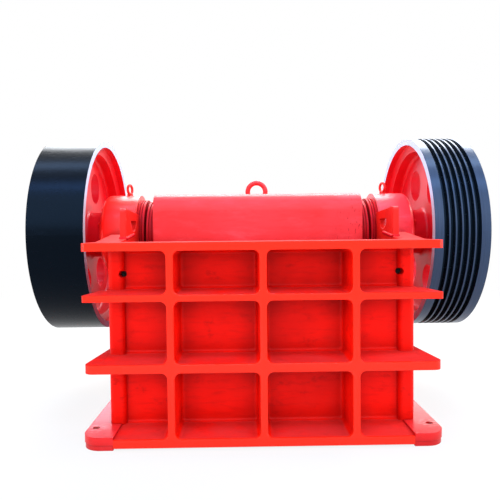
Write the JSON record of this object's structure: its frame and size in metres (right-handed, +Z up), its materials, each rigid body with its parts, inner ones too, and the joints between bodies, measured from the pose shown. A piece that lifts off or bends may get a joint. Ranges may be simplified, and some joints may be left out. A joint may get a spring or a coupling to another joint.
{
  "type": "jaw crusher",
  "caption": "Single-toggle jaw crusher with a ribbed cast frame, a long narrow feed mouth, a swinging jaw on an eccentric shaft, a flywheel and a grooved belt sheave.",
  "frame": {"origin": "on the floor, under the middle of the machine's bounding box", "axes": "+Z up, -Y the ribbed feed wall that faces the viewer, +X the grooved sheave, -X the smooth flywheel"},
  "size_m": [2.19, 1.7, 1.394],
  "materials": {
    "red_paint": "gloss red enamel over cast iron",
    "black_gloss": "gloss black enamel with bright machined rim faces",
    "manganese_steel": "rough cast wear plate",
    "machined_steel": "turned steel",
    "dark_casting": "dark casting",
    "dark_steel": "oiled steel"
  },
  "bodies": {
    "frame": {"front_wall": "red_paint", "rear_wall": "red_paint", "fixed_jaw_plate": "manganese_steel", "toggle_plate": "dark_casting", "rear_toggle_seat": "dark_casting", "adjusting_shims": "dark_casting", "side_wall_left": "red_paint", "side_wall_right": "red_paint", "foot_rail_left": "red_paint", "foot_rail_right": "red_paint", "bearing_housing_left": "red_paint", "bearing_housing_right": "red_paint", "bearing_cover_left": "red_paint", "bearing_cover_right": "red_paint", "housing_ring_left": "red_paint", "housing_ring_right": "red_paint", "lifting_lug_left": "red_paint", "lifting_lug_right": "red_paint", "housing_eyebolt_left": "red_paint", "housing_eyebolt_right": "red_paint", "cheek_plate_left": "manganese_steel", "cheek_plate_right": "manganese_steel", "tension_rod_left": "dark_steel", "tension_rod_right": "dark_steel", "tension_spring_left": "dark_steel", "tension_spring_right": "dark_steel", "spring_nut_left": "dark_steel", "spring_nut_right": "dark_steel"},
    "rotor": {"eccentric_shaft": "machined_steel", "flywheel": "black_gloss", "drive_sheave": "black_gloss", "shaft_end_cap_left": "red_paint", "shaft_end_cap_right": "red_paint"},
    "pitman": {"pitman": "red_paint", "pitman_head": "red_paint", "pitman_guard": "red_paint", "pitman_eye": "red_paint", "moving_jaw_plate": "manganese_steel", "jaw_clamp_bar": "dark_casting", "front_toggle_seat": "dark_casting", "pitman_ring_left": "red_paint", "pitman_ring_right": "red_paint"}
  },
  "joints": [
    {"name": "shaft_spin", "type": "hinge", "parent": "frame", "child": "rotor", "pos_m": [0, 0.024, 0.878], "axis": [1, 0, 0], "continuous": true},
    {"name": "pitman_swing", "type": "hinge", "parent": "rotor", "child": "pitman", "pos_m": [0, 0.024, 0.868], "axis": [1, 0, 0], "continuous": true}
  ],
  "couplings": [
    {"joint": "pitman_swing", "follows": "shaft_spin", "ratio": -1}
  ]
}
